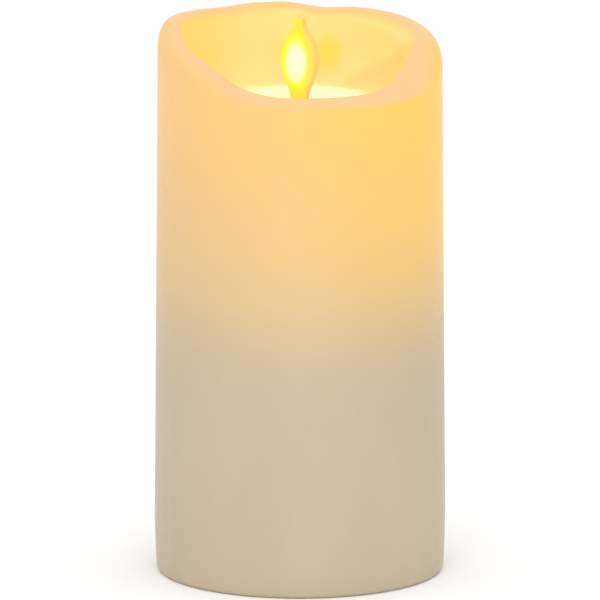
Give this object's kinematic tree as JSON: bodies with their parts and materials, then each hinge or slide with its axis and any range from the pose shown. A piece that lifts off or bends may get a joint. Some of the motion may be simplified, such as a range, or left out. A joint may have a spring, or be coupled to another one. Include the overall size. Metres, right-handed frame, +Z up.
{
  "type": "flameless led candle",
  "caption": "Pillar candle in wax over a plastic core, with a bowl under a wavy melted rim, a swinging lit flame on a pivot wire, and a battery base with a hinged door and a slide switch.",
  "frame": {"origin": "centre of the foot, on the surface that the candle stands on", "axes": "+Z up along the candle; -Y towards the low side of the rim; the flame faces 25 degrees from -Y towards -X"},
  "size_m": [0.09, 0.09, 0.172],
  "materials": {
    "wax": "satin, smooth cast wax with faint mottling",
    "ivory_plastic": "moulded, fine matte",
    "white_plastic": "moulded, fine matte",
    "black_plastic": "moulded",
    "flame_plastic": "translucent, frosted",
    "steel": "zinc plated",
    "spring_steel": "nickel plated",
    "magnet": "nickel plated",
    "clear_resin": "clear, domed",
    "copper": "enamelled wire",
    "board": "solder mask",
    "cell_can": "plain sleeve",
    "capacitor_can": "sleeved",
    "red_wire": "insulation",
    "black_wire": "insulation",
    "white_wire": "insulation"
  },
  "bodies": {
    "root": {"wax_shell": "wax", "core_sleeve": "ivory_plastic", "base_plate": "white_plastic", "base_screws": "steel", "hinge_pin": "steel", "battery_box": "white_plastic", "cell_left": "cell_can", "cell_right": "cell_can", "positive_contact": "spring_steel", "negative_contact": "spring_steel", "negative_spring": "spring_steel", "control_board": "board", "board_screws": "steel", "controller_chip": "black_plastic", "smoothing_capacitor": "capacitor_can", "crystal": "spring_steel", "drive_transistor": "black_plastic", "resistors": "black_plastic", "switch_frame": "steel", "switch_body": "black_plastic", "switch_pins": "spring_steel", "switch_screws": "steel", "flame_collar": "ivory_plastic", "module_screws": "steel", "housing_left": "white_plastic", "housing_right": "white_plastic", "housing_screws": "steel", "pivot_wire": "steel", "led_lens": "clear_resin", "led_leads": "steel", "led_holder": "black_plastic", "coil_bobbin": "white_plastic", "coil_winding": "copper", "battery_wire_red": "red_wire", "battery_wire_black": "black_wire", "switch_wires": "white_wire", "led_wires": "red_wire", "coil_wires": "black_wire"},
    "flame_body": {"flame": "flame_plastic", "flame_magnet": "magnet"},
    "knob_body": {"switch_knob": "black_plastic"},
    "door_body": {"battery_door": "white_plastic", "door_bridge_plate": "spring_steel", "door_bridge_spring": "spring_steel"}
  },
  "joints": [
    {"name": "flame_swing", "type": "hinge", "parent": "root", "child": "flame_body", "pos_m": [0, 0, 0.1295], "axis": [0.4226, 0.9063, 0], "range_deg": [-12, 12]},
    {"name": "switch_slide", "type": "slide", "parent": "root", "child": "knob_body", "axis": [1, 0, 0], "range_m": [0, 0.004]},
    {"name": "battery_door_hinge", "type": "hinge", "parent": "root", "child": "door_body", "pos_m": [0, 0.015, 0.0028], "axis": [1, 0, 0], "range_deg": [0, 95]}
  ]
}
